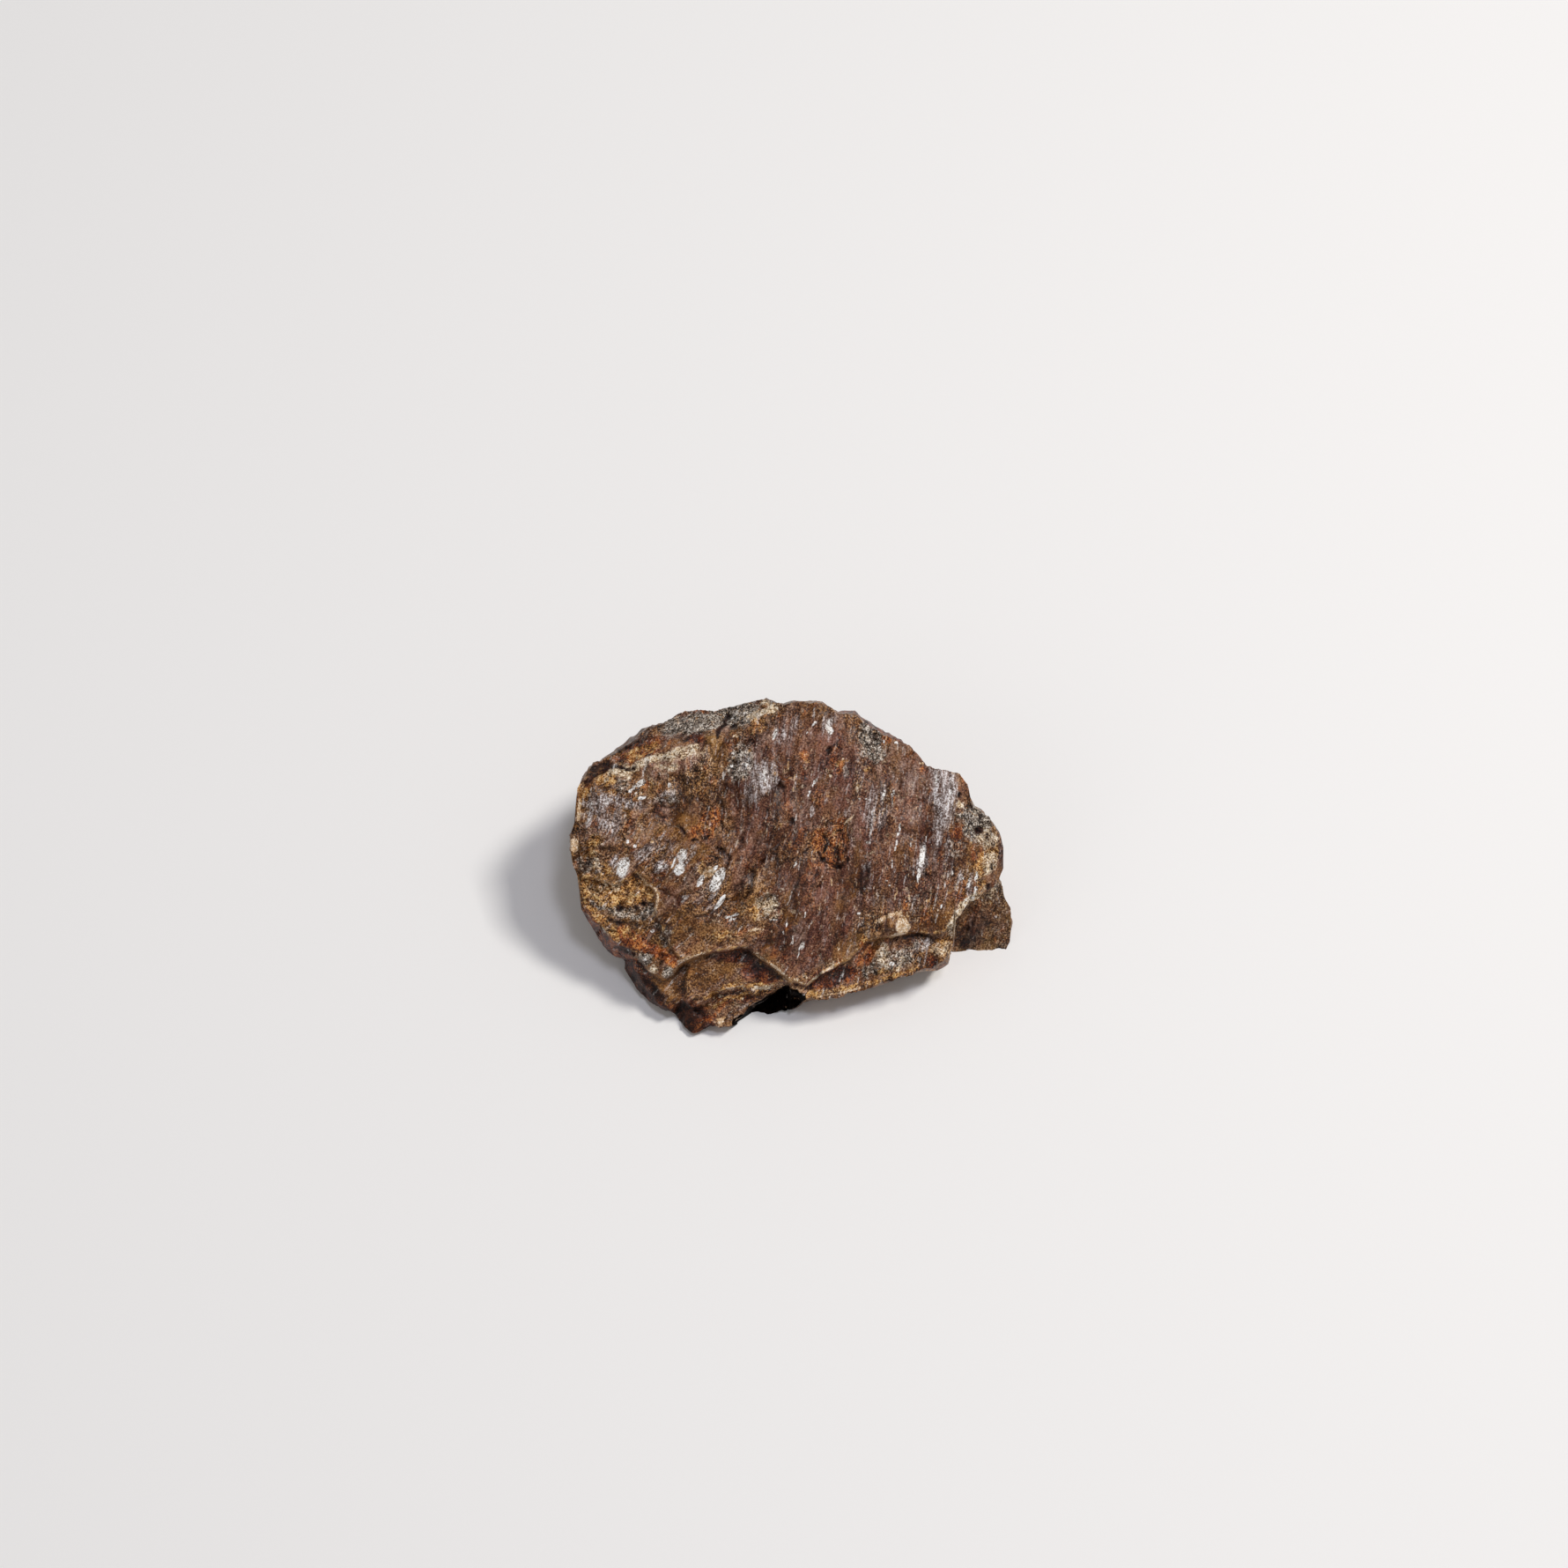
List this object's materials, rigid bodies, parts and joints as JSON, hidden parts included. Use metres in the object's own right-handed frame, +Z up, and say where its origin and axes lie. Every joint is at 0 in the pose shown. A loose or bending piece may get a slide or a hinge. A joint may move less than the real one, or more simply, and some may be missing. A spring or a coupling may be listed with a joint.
{
  "type": "tetrahedrite mineral specimen",
  "caption": "Broken hand specimen of massive tetrahedrite in vein rock, with a tilted striated face, stepped lower ledges and a lump of dark wall rock.",
  "frame": {"origin": "centre of the bounding box on the surface that the stone rests on", "axes": "+X along the stone's length, to the right as the striated face is seen from the front; +Z up; the striated face looks towards -Y and up"},
  "size_m": [0.031, 0.0207, 0.0137],
  "materials": {
    "vein_rock": "brown striated rock with a satin to pearly lustre, ochre stains and grey metallic grains"
  },
  "bodies": {
    "root": {"tetrahedrite_stone": "vein_rock"}
  },
  "joints": []
}
